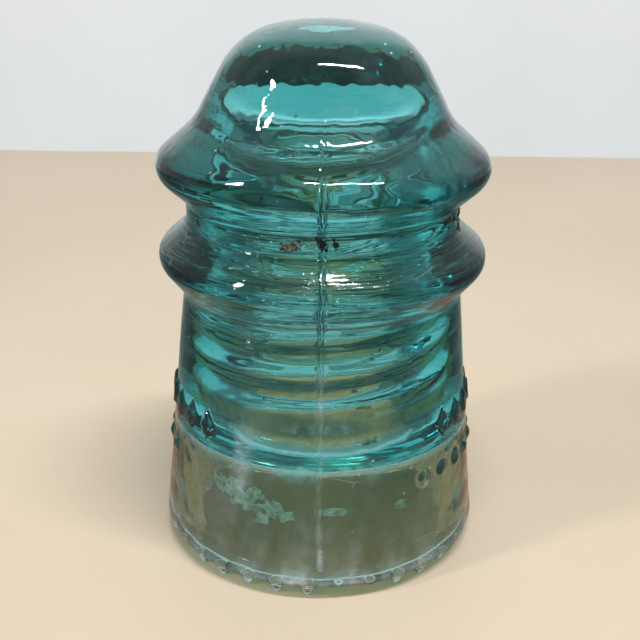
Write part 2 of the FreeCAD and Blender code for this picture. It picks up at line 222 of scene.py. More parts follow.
def half_section():
    """The glass's half section from the crown, round the rim, to the ceiling of the pin hole."""
    corners = [DOME_FOOT, UPPER_RIDGE, GROOVE_TOP, GROOVE_BOTTOM, LOWER_RIDGE, SKIRT_TOP, RIM_OUTER,
               RIM_INNER, LEDGE_OUTER, LEDGE_INNER, MOUTH_TOP, CREST_BOTTOM, PIN_END, CEILING]
    points = crown_arcs(Vector(DOME_FOOT[:2]))
    places = [points[-1]] + [Vector(c[:2]) for c in corners] + [Vector((0, CEILING[1]))]
    for i, corner in enumerate(corners, start=1):
        points += rounded(places[i - 1], places[i], places[i + 1], corner[2])
    points.append(places[-1])
    return np.array([tuple(p) for p in points])


def row_spacing(height, outside):
    """How far along the half section the next row of the mesh lies."""
    stretches = OUTSIDE_ROWS if outside else INSIDE_ROWS
    return next((spacing for top, spacing in stretches if height < top), stretches[-1][1])


class Rows:
    """Rows of the mesh along the half section, with the outward normal at each."""

    def __init__(self):
        points = half_section()
        reach = np.concatenate([[0], np.cumsum(np.hypot(*np.diff(points, axis=0).T))])
        self.rim_at = reach[np.flatnonzero(points[:, 1] < RIM_OUTER[1] + 0.01)[0]]
        at = [FIRST_ROW]
        while at[-1] < reach[-1] - LAST_ROW - 0.1:
            height = np.interp(at[-1], reach, points[:, 1])
            at.append(at[-1] + row_spacing(height, at[-1] < self.rim_at))
        self.at = np.array(at[:-1] + [reach[-1] - LAST_ROW])

        def places(shift):
            return np.stack([np.interp(self.at + shift, reach, points[:, i]) for i in (0, 1)], axis=1)

        along = places(0.05) - places(-0.05)
        along = along / np.linalg.norm(along, axis=1, keepdims=True)
        self.radius, self.height = places(0).T
        self.normal_out, self.normal_up = -along[:, 1], along[:, 0]
        self.outside = self.at < self.rim_at
        self.fine = self.height < FINE_BELOW


def column_angles():
    """Angles round the axis from the front, closer together at the seams and the raised marks."""
    degrees = np.linspace(-180, 180, 36001)
    side = np.abs(degrees)
    density = COLUMNS + MARK_COLUMNS * ((side > MARK_STRETCH[0]) & (side < MARK_STRETCH[1]))
    density = density + SEAM_COLUMNS * ((side < SEAM_REACH) | (side > 180 - SEAM_REACH))
    total = np.concatenate([[0], np.cumsum((density[1:] + density[:-1]) / 2 * np.diff(degrees))])
    count = round(total[-1])
    return np.radians(np.interp(np.arange(count) * total[-1] / count, total, degrees))


# ---------------------------------------------------------------- relief on the turned shape


def smooth(low, high, value):
    """Rises from 0 at low to 1 at high; falls if low is above high."""
    t = np.clip((value - low) / (high - low), 0, 1)
    return t * t * (3 - 2 * t)


def bell(value, middle, width):
    """1 in the middle, falling off on both sides."""
    return np.exp(-(((value - middle) / width) ** 2))


def waves(place, seed, count, shortest, longest):
    """Seeded unevenness: sine waves crossing space in many directions."""
    rng = np.random.default_rng(seed)
    total = 0
    for _ in range(count):
        heading = rng.normal(size=3)
        heading *= 2 * math.pi / np.linalg.norm(heading) / rng.uniform(shortest, longest)
        total = total + np.sin(sum(h * p for h, p in zip(heading, place)) + rng.uniform(0, 2 * math.pi))
    return total / math.sqrt(count)


def thread_cut(theta, radius, height):
    """How deep the rounded thread bites into the wall of the pin hole, below the cone its crests lie on."""
    turn = np.mod(theta - math.pi / 2, 2 * math.pi) / (2 * math.pi)
    middle = THREAD_START + THREAD_PITCH * turn
    count = np.round((height - middle) / THREAD_PITCH)
    off = np.abs(height - middle - THREAD_PITCH * count)
    progress = count + turn
    straight = np.clip((THREAD_MOUTH - off) / (THREAD_MOUTH - THREAD_ROOT), 0, 1)
    shape = 0.6 * straight + 0.4 * smooth(THREAD_MOUTH, THREAD_ROOT, off)
    shape = shape * smooth(-0.1, 0.3, progress) * smooth(THREAD_TURNS + 0.1, THREAD_TURNS - 0.3, progress)
    slope = (CREST_BOTTOM[0] - PIN_END[0]) / (PIN_END[1] - CREST_BOTTOM[1])
    crest = CREST_BOTTOM[0] + slope * (CREST_BOTTOM[1] - height)
    return np.maximum(crest + THREAD_DEPTH * shape - radius, 0) * (shape > 0)


def tool_lines(theta, at, seed, shortest, longest):
    """Lines left round the glass by the turned mould, wandering a little and fading in and out."""
    rng = np.random.default_rng(seed)
    count = 7
    total = 0
    for _ in range(count):
        pitch = rng.uniform(shortest, longest)
        sway = sum(rng.uniform(0.1, 0.35) * np.sin(m * theta + rng.uniform(0, 6.3)) for m in (1, 2, 3))
        fade = 0.6 + 0.4 * np.sin(rng.integers(1, 5) * theta + rng.uniform(0, 6.3))
        total = total + fade * np.sin(2 * math.pi * (at + sway) / pitch + rng.uniform(0, 6.3))
    return total / math.sqrt(count)


def ring_amount(height):
    """Where the mould's turning lines show: the ridges, the groove and the upper skirt."""
    return smooth(38, 45, height) * smooth(67.5, 64, height)


def seam(theta, at, height, radius):
    """The mould's parting line: a raised double line at the front and the back."""
    across = np.where(np.abs(theta) < math.pi / 2, np.sin(theta), -np.sin(theta)) * radius
    wander = 0.12 * np.sin(at * 0.9) + 0.08 * np.sin(at * 2.3 + 1)
    ragged = 0.75 + 0.25 * np.sin(at * 3.1) * np.sin(at * 1.3 + 2)
    left = bell(across - wander, -0.42, 0.2)
    right = bell(across - wander, 0.42, 0.2)
    strength = 0.16 + 0.24 * smooth(67, 64, height) * smooth(33, 42, height)
    strength = strength * smooth(80, 72, height)
    return strength * ragged * (left + 0.7 * right)


def spindle(theta, height, radius):
    """The spindle-shaped swelling at the front."""
    right, middle, half_wide, half_tall = SPINDLE
    across = (np.sin(theta) * radius - right) / half_wide
    tall = (height - middle) / half_tall
    return 0.45 * np.clip(1 - across**2 - tall**2, 0, 1) ** 0.6 * (np.cos(theta) > 0)


def lozenge(across, tall):
    """A plain lozenge with a flat top."""
    return smooth(1.12, 0.72, across + tall)


def dot(across, tall):
    """A plain domed dot."""
    return smooth(1.15, 0.1, np.hypot(across, tall))


def raised_marks(theta, height):
    """The rows of plain lozenges and plain dots on the skirt."""
    lift = np.zeros_like(theta)
    for rows, shape in ((LOZENGE_ROWS, lozenge), (DOT_ROWS, dot)):
        for first, step, count, middle, half_wide, half_tall in rows:
            tall = np.abs(height - middle) / half_tall
            for i in range(count):
                across = np.abs(theta - math.radians(first + i * step)) * MARK_RADIUS / half_wide
                lift = np.maximum(lift, MARK_RELIEF * shape(across, tall))
    return lift


def drip_drop(theta, radius):
    """How far the rim hangs down at the drip points."""
    step = 2 * math.pi / DRIP_COUNT
    number = np.round((theta - math.radians(DRIP_FIRST)) / step)
    off = theta - math.radians(DRIP_FIRST) - number * step
    far = np.hypot(DRIP_CIRCLE * np.sin(off), radius - DRIP_CIRCLE)
    rng = np.random.default_rng(5)
    lengths = 1 - 0.16 * rng.random(DRIP_COUNT)
    lengths[::4] = 1.0
    for which, length in WORN_DRIPS.items():
        lengths[which] = length
    length = lengths[np.mod(number, DRIP_COUNT).astype(int)]
    return RIM_OUTER[1] * length * smooth(DRIP_BASE, DRIP_TIP, far)


def bruise(theta, height):
    """How bruised the upper ridge is: most in the middle of one patch, right of the front."""
    degrees, middle, wide, tall = BRUISE
    return bell(theta, math.radians(degrees), wide) * bell(height, middle, tall)


def dome_ripples(theta, height):
    """How far the dome's side ripples: most on the left of the front, less on the right."""
    left, right = RIPPLED
    amount = 0.010 + 0.034 * bell(theta, left, 0.25) + 0.02 * bell(theta, right, 0.3)
    return amount * smooth(71, 75, height) * smooth(84, 80, height)


def outside_relief(theta, radius, height, at, place):
    """Fine waves, ripples, turning lines, the bruise, the seams, the spindle and the raised marks."""
    lift = (0.006 + 0.006 * smooth(66, 72, height)) * waves(place, 2, 14, 1.8, 3.6)
    lift = lift + dome_ripples(theta, height) * waves(place, 7, 14, 1.7, 3.2)
    lift = lift + 0.009 * ring_amount(height) * tool_lines(theta, at, 3, 0.8, 1.5)
    lift = lift + 0.009 * ring_amount(height) * tool_lines(theta, at, 8, 1.5, 3.0)
    lift = lift + 0.05 * bruise(theta, height) * waves(place, 4, 12, 1.2, 2.4)
    lift = lift + seam(theta, at, height, radius) + spindle(theta, height, radius)
    return lift + raised_marks(theta, height)


def inside_relief(theta, radius, height, place):
    """Fine waves and the thread."""
    in_thread = (height > LEDGE_INNER[1] + 1) & (height < CEILING[1] - CEILING[2])
    lift = (0.018 + 0.006 * (height > MOUTH_TOP[1] - 3)) * waves(place, 6, 14, 1.8, 4.5)
    return lift - np.where(in_thread, thread_cut(theta, radius, height), 0)


def relief(theta, radius, height, at, outside):
    """How far the surface stands off the turned outline, along its normal."""
    place = (radius * np.sin(theta), -radius * np.cos(theta), height)
    fine = np.where(outside, outside_relief(theta, radius, height, at, place),
                    inside_relief(theta, radius, height, place))
    return 0.045 * waves(place, 1, 9, 7, 18) + fine


# ---------------------------------------------------------------- the glass mesh


def block(rows, pick, angles):
    """Places of the picked rows, at each angle, in millimetres."""
    theta, radius = np.meshgrid(angles, rows.radius[pick])
    height, at, out, up = (np.repeat(v[pick][:, None], len(angles), axis=1)
                           for v in (rows.height, rows.at, rows.normal_out, rows.normal_up))
    lift = relief(theta, radius, height, at, rows.outside[pick][:, None])
    drop = drip_drop(theta, radius) * smooth(0.05, 0.6, -up) * (height < 6)
    lift = lift * smooth(0, 1.2, height + 0.3 - drop)
    radius = radius + lift * out
    height = np.maximum(height + lift * up - drop, 0)
    return np.stack([radius * np.sin(theta), -radius * np.cos(theta), height], axis=2)


def band_faces(upper, lower):
    """Faces between two rows of vertex numbers, whether or not one row is twice as fine."""
    after = np.roll(upper, -1), np.roll(lower, -1)
    if len(upper) == len(lower):
        return np.stack([upper, lower, after[1], after[0]], axis=1).tolist()
    if len(upper) < len(lower):
        return np.stack([upper, lower[::2], lower[1::2], after[1][1::2], after[0]], axis=1).tolist()
    return np.stack([upper[::2], lower, after[1], after[0][1::2], upper[1::2]], axis=1).tolist()


def bubble_ring(middle, wide, tall, tilt):
    """Points round a bubble, at an angle down from its top."""
    out = wide * math.sin(tilt)
    return [middle + Vector((out * math.cos(a), out * math.sin(a), tall * math.cos(tilt)))
            for a in np.arange(BUBBLE_SIDES) * 2 * math.pi / BUBBLE_SIDES]


def bubble_shells(first):
    """Small hollows inside the glass: their faces look inwards, as the glass's other faces look out."""
    points, faces = [], []
    for degrees, radius, height, wide, tall in BUBBLES:
        turn = math.radians(degrees)
        middle = Vector((radius * math.sin(turn), -radius * math.cos(turn), height))
        base = first + len(points)
        for ring in range(1, BUBBLE_RINGS):
            points += bubble_ring(middle, wide, tall, math.pi * ring / BUBBLE_RINGS)
        points += [middle + Vector((0, 0, tall)), middle - Vector((0, 0, tall))]
        top = base + (BUBBLE_RINGS - 1) * BUBBLE_SIDES
        number = np.arange(base, top).reshape(-1, BUBBLE_SIDES)
        for ring, below in zip(number, number[1:]):
            faces += [f[::-1] for f in band_faces(ring, below)]
        faces += [(top, b, a) for a, b in zip(number[0], np.roll(number[0], -1))]
        faces += [(top + 1, a, b) for a, b in zip(number[-1], np.roll(number[-1], -1))]
    return np.array([tuple(p) for p in points]), faces


def column_sets():
    """The columns' angles, and the same with one more angle between each two."""
    coarse = column_angles()
    gaps = np.mod(np.roll(coarse, -1) - coarse, 2 * math.pi)
    fine = np.stack([coarse, coarse + gaps / 2], axis=1).ravel()
    return coarse, np.mod(fine + math.pi, 2 * math.pi) - math.pi


def build_glass_mesh():
    """The glass as one closed mesh, turned from the half section, with its bubbles.

    It keeps a skin vector per vertex, x, y and the distance along the half section, for the materials' lines.
    """
    rows = Rows()
    coarse, fine = column_sets()
    first_fine, last_fine = np.flatnonzero(rows.fine)[[0, -1]]
    picks = [(np.arange(0, first_fine), coarse), (np.arange(first_fine, last_fine + 1), fine),
             (np.arange(last_fine + 1, len(rows.at)), coarse)]
    points, skins, numbers = [], [], []
    count = 0
    for pick, angles in picks:
        places = block(rows, pick, angles)
        along = np.repeat(rows.at[pick][:, None], len(angles), axis=1)
        skins.append(np.dstack([places[:, :, :2], along]).reshape(-1, 3))
        points.append(places.reshape(-1, 3))
        numbers += list(count + np.arange(along.size).reshape(along.shape))
        count += along.size
    faces = []
    for upper, lower in zip(numbers, numbers[1:]):
        faces += band_faces(upper, lower)
    faces += [(count, a, b) for a, b in zip(numbers[0], np.roll(numbers[0], -1))]
    faces += [(count + 1, b, a) for a, b in zip(numbers[-1], np.roll(numbers[-1], -1))]
    poles = np.array([[0, 0, HEIGHT], [0, 0, CEILING[1]]])
    bubbles, shells = bubble_shells(count + 2)
    points = np.vstack(points + [poles, bubbles])
    # The bubbles' distance along the half section is past its end, so they count as inside.
    skins = np.vstack(skins + [[(0, 0, 0), (0, 0, rows.at[-1])], [(0, 0, 500)] * len(bubbles)])
    mesh = bpy.data.meshes.new("glass_body_visual")
    mesh.from_pydata((points * MM).tolist(), [], faces + shells)
    store(mesh, "skin", skins)
    store_masks(mesh, points, skins[:, 2] < rows.rim_at)
    mesh.validate()
    mesh.shade_smooth()
    return mesh


# ---------------------------------------------------------------- masks for the materials


def store(mesh, name, values):
    """Keeps one value or vector per vertex on the mesh, for the material to read."""
    kind = "FLOAT_VECTOR" if values.ndim == 2 else "FLOAT"
    attribute = mesh.attributes.new(name, kind, "POINT")
    attribute.data.foreach_set("vector" if values.ndim == 2 else "value", values.astype(np.float32).ravel())


def rim_glints(theta, height):
    """Painted glints: bright spots on the rim between the drip points, some stronger than others."""
    turn = (theta - math.radians(DRIP_FIRST)) / (2 * math.pi / DRIP_COUNT)
    weights = np.random.default_rng(9).uniform(0.15, 0.8, DRIP_COUNT)
    weight = weights[np.mod(np.floor(turn), DRIP_COUNT).astype(int)]
    return weight * np.sin(math.pi * turn) ** 6 * smooth(4.0, 2.8, height)


def outside_dust_and_painted_light(theta, x, y, height):
    """Dust low on the skirt and on the seam, the spindle and the rim, with painted light: a painted
    reflection in a smear left of the front, a painted bright band at the rim's foot and painted glints
    between the drip points.
    """
    right, middle, half_wide, half_tall = SPINDLE
    # Painted reflection: a pale vertical smear left of the front stands in for a blurred reflection of a soft
    # box.
    painted_reflection_smear = bell(theta, -0.50, 0.065) * smooth(33, 27, height) * smooth(12, 19, height)
    on_seam = 0.22 * bell(x, 0, 0.5) * (y < 0) * smooth(46, 38, height) * smooth(1, 3, height)
    off_spindle = ((x - right) / half_wide) ** 2 + ((height - middle) / (half_tall + 0.2)) ** 2
    on_spindle = 0.45 * np.clip(1 - off_spindle, 0, 1) * (y < 0)
    # Its last term, at the rim's foot below 3 mm, is a painted bright band standing in for light coming
    # through the rim.
    dust_and_painted_light = 0.10 * smooth(20, 6, height) + 0.33 * smooth(7, 2.5, height) + 0.2 * smooth(3.0, 1.2, height)
    dust_and_painted_light = dust_and_painted_light + 0.045 * smooth(49, 44, height) * np.clip(np.cos(theta), 0, 1) ** 2
    return dust_and_painted_light + 0.28 * painted_reflection_smear + on_seam + on_spindle + rim_glints(theta, height)


def inside_dust(x, y, height):
    """More dust low in the hollow, on its ledge and round the mouth of the pin hole."""
    radius = np.hypot(x, y)
    ledge = smooth(18.5, 20.5, height) * smooth(22.5, 21.7, height) * (radius > 19)
    mouth = smooth(22, 23, height) * smooth(31, 28, height) * (radius < 15.2)
    return 0.16 * smooth(24, 14, height) + 0.5 * ledge + 0.35 * mouth


def store_masks(mesh, points, outside):
    """Marks where the lines, the ripples, the bruise, the scratches, the dull pressing, the dust and the
    painted sheen, glints and reflection lie.
    """
    x, y, height = points.T
    theta = np.arctan2(x, -y)
    rippled = bell(theta, RIPPLED[0], 0.22) * smooth(72, 75, height) * smooth(85, 81, height)
    dull = (0.05 * smooth(19, 22, height) + 0.12 * smooth(24, 26, height)) * smooth(31, 29, height)
    store(mesh, "rings", ring_amount(height) * outside)
    store(mesh, "bruise", bruise(theta, height) * outside)
    # Dust, with painted glints, a painted reflection and a painted bright band at the rim's foot.
    store(mesh, "dust_film_and_painted_light", np.where(outside, outside_dust_and_painted_light(theta, x, y, height), inside_dust(x, y, height)))
    # Painted sheen: how much the glass is lightened at grazing angles, more on the upper body.
    store(mesh, "painted_sheen", 0.02 + 0.04 * smooth(40, 48, height))
    store(mesh, "ripple", rippled * outside)
    store(mesh, "scratched", smooth(66, 60, height) * outside)
    store(mesh, "unpolished", dull * ~outside)


# ---------------------------------------------------------------- deposits


def groove_radius(height):
    """The glass's outer radius in the wire groove, between the ridges."""
    points = half_section()
    between = (points[:, 1] > LOWER_RIDGE[1]) & (points[:, 1] < UPPER_RIDGE[1] - 3)
    run = points[between & (points[:, 0] > GROOVE_TOP[0] - 0.1) & (points[:, 0] < 27)]
    run = run[np.argsort(run[:, 1])]
    return np.interp(height, run[:, 1], run[:, 0])


def hollow_radius(height):
    """The radius of the hollow's wall, under the skirt."""
    fall = (LEDGE_OUTER[1] - height) / (LEDGE_OUTER[1] - RIM_INNER[1])
    return LEDGE_OUTER[0] + fall * (RIM_INNER[0] - LEDGE_OUTER[0])


def patch_field(across, up, patch, cell):
    """Positive inside a ragged patch, and highest in its middle."""
    half_wide, half_tall, ragged, seed = patch[2:]
    field = 1 - np.hypot(across / half_wide, up / half_tall)
    return field + ragged * waves((across, up, across * 0), seed, 14, 4 * cell, 26 * cell)


def filled_cells(field):
    """The cells inside a patch; those that would touch only at a corner are joined up."""
    solid = field > PATCH_EDGE
    solid[[0, -1], :] = False
    solid[:, [0, -1]] = False
    for _ in range(3):
        corner = solid[:-1, :-1] & solid[1:, 1:] & ~solid[1:, :-1] & ~solid[:-1, 1:]
        solid[1:, :-1] |= corner
        corner = ~solid[:-1, :-1] & ~solid[1:, 1:] & solid[1:, :-1] & solid[:-1, 1:]
        solid[:-1, :-1] |= corner
    return solid


def numbered_corners(solid):
    """Numbers for the corners of the filled cells, and -1 for the others."""
    wide, tall = solid.shape
    used = np.zeros((wide + 1, tall + 1), dtype=bool)
    for i, j in ((0, 0), (0, 1), (1, 0), (1, 1)):
        used[i:i + wide, j:j + tall] |= solid
    grid = np.full(used.shape, -1)
    grid[used] = np.arange(used.sum())
    return grid


def eased(place, used):
    """The corners' places once each has moved half way to the middle of its neighbours, three times."""
    shifts = ((1, 0), (-1, 0), (0, 1), (0, -1))
    near = [np.roll(used, shift, axis=(0, 1)).astype(int) for shift in shifts]
    neighbours = np.maximum(sum(near), 1)
    for _ in range(3):
        total = sum(mask * np.roll(place, shift, axis=(0, 1)) for mask, shift in zip(near, shifts))
        place = np.where(used, 0.5 * place + 0.5 * total / neighbours, place)
    return place


def crust_faces(solid, grid, base):
    """A top and a bottom for each filled cell, and a side wherever its neighbour is empty."""
    below = int(grid.max()) + 1
    faces = []
    for i, j in np.argwhere(solid):
        ring = [base + int(grid[corner]) for corner in ((i, j), (i + 1, j), (i + 1, j + 1), (i, j + 1))]
        faces += [ring, [number + below for number in reversed(ring)]]
        for di, dj, a, b in ((0, -1, 0, 1), (1, 0, 1, 2), (0, 1, 2, 3), (-1, 0, 3, 0)):
            if not solid[i + di, j + dj]:
                faces.append([ring[b], ring[a], ring[a] + below, ring[b] + below])
    return faces


def crust_mesh(name, patches, cell, wall, side, thick):
    """A closed crust over the cells where its patches lie, thin at the edges and lumpy inside.

    The wall is a function of height that gives a radius. The side is 1 for a crust on the outside of that
    wall and -1 for one on the inside. The mesh keeps how far inside its patch each vertex is, for the
    material.
    """
    points, faces, cover = [], [], []
    for patch in patches:
        degrees, middle, half_wide, half_tall, _, seed = patch
        u, v = (np.arange(-half * PATCH_MARGIN, half * PATCH_MARGIN, cell) for half in (half_wide, half_tall))
        solid = filled_cells(patch_field(*np.meshgrid(u, v, indexing="ij"), patch, cell))
        grid = numbered_corners(solid)
        used = grid >= 0
        inner = np.zeros_like(used)
        inner[1:-1, 1:-1] = solid[:-1, :-1] & solid[1:, :-1] & solid[:-1, 1:] & solid[1:, 1:]
        corners = (np.append(line, line[-1] + cell) - cell / 2 for line in (u, v))
        across, up = (eased(place, used) for place in np.meshgrid(*corners, indexing="ij"))
        lump = 0.65 + 0.35 * waves((across, up, across * 0), seed + 50, 10, 2.5 * cell, 8 * cell)
        height = np.where(inner, thick * np.clip(lump, 0.3, 1), thick * CRUST_EDGE)
        faces += crust_faces(solid, grid, len(points))
        cover += [np.clip(patch_field(across, up, patch, cell)[used], 0, 1)] * 2
        z = middle + up[used]
        turn = math.radians(degrees) + across[used] / wall(z)
        for lift in (height[used], -CRUST_BURIED):
            radius = wall(z) + side * lift
            points += np.stack([radius * np.sin(turn), -radius * np.cos(turn), z], axis=1).tolist()
    if side < 0:
        faces = [face[::-1] for face in faces]
    mesh = bpy.data.meshes.new(name)
    mesh.from_pydata((np.array(points) * MM).tolist(), [], faces)
    store(mesh, "cover", np.concatenate(cover))
    mesh.validate()
    mesh.shade_smooth()
    return mesh


# ---------------------------------------------------------------- materials


class Nodes:
    """Short ways to add and join the shader nodes of a material or a world."""

    def __init__(self, owner):
        owner.use_nodes = True
        self.nodes, self.links = owner.node_tree.nodes, owner.node_tree.links
        self.nodes.clear()

    def feed(self, node, key, value):
        """Links or sets an input, found by its name or number."""
        if isinstance(value, bpy.types.NodeSocket):
            self.links.new(value, node.inputs[key])
        else:
            node.inputs[key].default_value = value

    def add(self, kind, **inputs):
        node = self.nodes.new(kind)
        for key, value in inputs.items():
            self.feed(node, key.replace("_", " "), value)
        return node

    def math(self, what, *values):
        node = self.nodes.new("ShaderNodeMath")
        node.operation = what
        for i, value in enumerate(values):
            self.feed(node, i, value)
        return node.outputs[0]

    def vector_math(self, what, inputs, output="Vector"):
        node = self.nodes.new("ShaderNodeVectorMath")
        node.operation = what
        for key, value in inputs.items():
            self.feed(node, key, value)
        return node.outputs[output]

    def place(self):
        return self.nodes.new("ShaderNodeTexCoord").outputs["Object"]

    def attribute(self, name, output="Fac"):
        node = self.nodes.new("ShaderNodeAttribute")
        node.attribute_name = name
        return node.outputs[output]

    def noise(self, vector, scale, detail=2.0, roughness=0.5):
        node = self.add("ShaderNodeTexNoise", Vector=vector, Scale=scale, Detail=detail, Roughness=roughness)
        return node.outputs["Fac"]

    def skin(self, scale):
        """The skin vector, in millimetres, scaled by a number for each of its directions."""
        return self.vector_math("MULTIPLY", {0: self.attribute("skin", "Vector"), 1: scale})

    def skin_noise(self, scale, detail=2.0, roughness=0.5):
        return self.noise(self.skin(scale), 1.0, detail, roughness)

    def window(self, value, low, high, out_low=0.0, out_high=1.0, kind="SMOOTHSTEP"):
        """Goes from one output to the other as the value goes from low to high."""
        node = self.nodes.new("ShaderNodeMapRange")
        node.interpolation_type = kind
        for key, number in (("From Min", low), ("From Max", high), ("To Min", out_low), ("To Max", out_high)):
            node.inputs[key].default_value = number
        self.links.new(value, node.inputs["Value"])
        return node.outputs["Result"]

    def bump(self, height, strength, distance, normal=None):
        node = self.add("ShaderNodeBump", Height=height, Strength=strength, Distance=distance)
        if normal is not None:
            self.links.new(normal, node.inputs["Normal"])
        return node.outputs["Normal"]

    def mix_shader(self, amount, first, second):
        node = self.nodes.new("ShaderNodeMixShader")
        for key, value in enumerate((amount, first, second)):
            self.feed(node, key, value)
        return node.outputs[0]

    def ramp(self, value, stops):
        node = self.nodes.new("ShaderNodeValToRGB")
        self.links.new(value, node.inputs[0])
        elements = node.color_ramp.elements
        while len(elements) < len(stops):
            elements.new(0.5)
        for element, (position, colour) in zip(elements, stops):
            element.position = position
            element.color = (*colour, 1)
        return node.outputs["Color"]


def scratches(tree, place):
    """Rare thin scratches on the outside, along the edges of large stretched cells."""
    cells = tree.nodes.new("ShaderNodeTexVoronoi")
    cells.feature = "DISTANCE_TO_EDGE"
    tree.feed(cells, "Vector", tree.skin((0.05, 0.09, 0.16)))
    tree.feed(cells, "Scale", 1.0)
    thin = tree.window(cells.outputs["Distance"], 0.004, 0.0)
    rare = tree.window(tree.noise(place, 60.0, 1.0), 0.60, 0.66)
    return tree.math("MULTIPLY", thin, tree.math("MULTIPLY", rare, tree.attribute("scratched")))


def glass_bumps(tree, place, bruised, scratch):
    """Turning lines, pits, crazing, ripples and scratches too small for the mesh."""
    fine_lines = tree.skin_noise((0.05, 0.05, 2.6), 3.0, 0.65)
    broad_lines = tree.skin_noise((0.03, 0.03, 0.9))
    dark_lines = tree.skin_noise((0.08, 0.08, 1.7), 2.0, 0.6)
    patchy = tree.window(tree.skin_noise((0.12, 0.12, 0.25), 1.0), 0.35, 0.6, 0.25, 1.0)
    lines = tree.math("MULTIPLY", tree.math("MULTIPLY", tree.attribute("rings"), patchy), 0.9)
    normal = tree.bump(tree.noise(place, 420.0), 0.06, 0.0004)
    normal = tree.bump(broad_lines, lines, 0.00012, normal)
    normal = tree.bump(tree.window(fine_lines, 0.56, 0.64), lines, 0.00004, normal)
    normal = tree.bump(tree.window(dark_lines, 0.42, 0.36), lines, 0.00005, normal)
    crazing = tree.math("MULTIPLY", bruised, 0.8)
    normal = tree.bump(tree.noise(place, 900.0, 4.0, 0.7), crazing, 0.0004, normal)
    normal = tree.bump(tree.noise(place, 650.0, 1.0), tree.attribute("ripple"), 0.00009, normal)
    return tree.bump(scratch, 0.6, 0.0001, normal)


def glass_dust_and_painted_light(tree, place, smudge, scratch):
    """How much of the surface is chalky: dust specks, a streaky film of dust and painted light, a painted
    sheen at grazing angles, and scratches.
    """
    dots = tree.add("ShaderNodeTexVoronoi", Vector=place, Scale=360.0)
    speck = tree.window(dots.outputs["Distance"], 0.10, 0.05)
    speck = tree.math("MULTIPLY", speck, tree.window(tree.noise(place, 130.0, 1.0), 0.53, 0.60))
    streaks = tree.window(tree.skin_noise((0.22, 0.22, 0.06), 3.0, 0.6), 0.35, 0.65, 0.3, 1.5)
    grain = tree.window(tree.noise(place, 300.0, 5.0, 0.7), 0.35, 0.7, 0.3, 1.0)
    dust_film_and_painted_light = tree.math("MULTIPLY", tree.math("MULTIPLY", tree.attribute("dust_film_and_painted_light"), grain), streaks)
    # Painted sheen: a pale diffuse layer at grazing angles stands in for reflections.
    graze = tree.add("ShaderNodeLayerWeight", Blend=0.5).outputs["Facing"]
    graze = tree.math("MULTIPLY", tree.math("POWER", graze, 4.0), tree.attribute("painted_sheen"))
    dust_and_painted_light = tree.math("MAXIMUM", tree.math("MULTIPLY", speck, 0.55), tree.math("ADD", dust_film_and_painted_light, graze))
    dust_and_painted_light = tree.math("MAXIMUM", dust_and_painted_light, tree.math("MULTIPLY", scratch, 0.5))
    return tree.math("ADD", dust_and_painted_light, tree.window(smudge, 0.5, 0.8, 0.016, 0.05))


def glass_material():
    """Absorbing blue-green glass with some dust and painted light on it; light that it would focus passes
    straight through.
    """
    material = bpy.data.materials.new("insulator_glass")
    tree = Nodes(material)
    place = tree.place()
    bruised = tree.attribute("bruise")
    scratch = scratches(tree, place)
    smudge = tree.noise(place, 90.0, 4.0, 0.6)
    smeared = tree.window(smudge, 0.55, 0.8, 0.0, 0.08)
    roughness = tree.math("ADD", smeared, tree.math("MULTIPLY", bruised, 0.15))
    roughness = tree.math("ADD", roughness, tree.attribute("unpolished"))
    glass = tree.add("ShaderNodeBsdfGlass", Color=(1, 1, 1, 1), IOR=GLASS_IOR, Roughness=roughness,
                  Normal=glass_bumps(tree, place, bruised, scratch))
    # This pale layer carries both the dust and the painted light.
    chalk = tree.add("ShaderNodeBsdfDiffuse", Color=DUST_AND_PAINTED_LIGHT_COLOUR)
    surface = tree.mix_shader(glass_dust_and_painted_light(tree, place, smudge, scratch), glass.outputs[0], chalk.outputs[0])
    clear = tree.add("ShaderNodeBsdfTransparent", Color=SHADOW_TINT)
    ray = tree.nodes.new("ShaderNodeLightPath").outputs
    unseen = tree.math("MAXIMUM", ray["Is Shadow Ray"], ray["Is Diffuse Ray"])
    absorb = tree.add("ShaderNodeVolumeAbsorption", Color=GLASS_COLOUR, Density=GLASS_DENSITY)
    tree.add("ShaderNodeOutputMaterial", Surface=tree.mix_shader(unseen, surface, clear.outputs[0]),
          Volume=absorb.outputs[0])
    return material


def rust_material():
    """Crumbly dark rust with gaps in it."""
    material = bpy.data.materials.new("rust")
    tree = Nodes(material)
    place = tree.place()
    grain = tree.noise(place, 1500.0, 4.0, 0.65)
    colour = tree.ramp(tree.noise(place, 500.0, 3.0, 0.6), [
        (0.40, (0.012, 0.007, 0.006)), (0.51, (0.06, 0.018, 0.008)), (0.60, (0.20, 0.062, 0.022)),
        (0.75, (0.42, 0.26, 0.14))])
    roughness = tree.window(grain, 0.3, 0.7, 0.75, 1.0)
    crust = tree.add("ShaderNodeBsdfPrincipled", Base_Color=colour, Roughness=roughness,
                  Normal=tree.bump(grain, 0.9, 0.0002))
    clear = tree.add("ShaderNodeBsdfTransparent")
    gaps = tree.window(tree.noise(place, 1100.0, 3.0, 0.6), 0.49, 0.56, 1.0, 0.0)
    tree.add("ShaderNodeOutputMaterial", Surface=tree.mix_shader(gaps, crust.outputs[0], clear.outputs[0]))
    return material


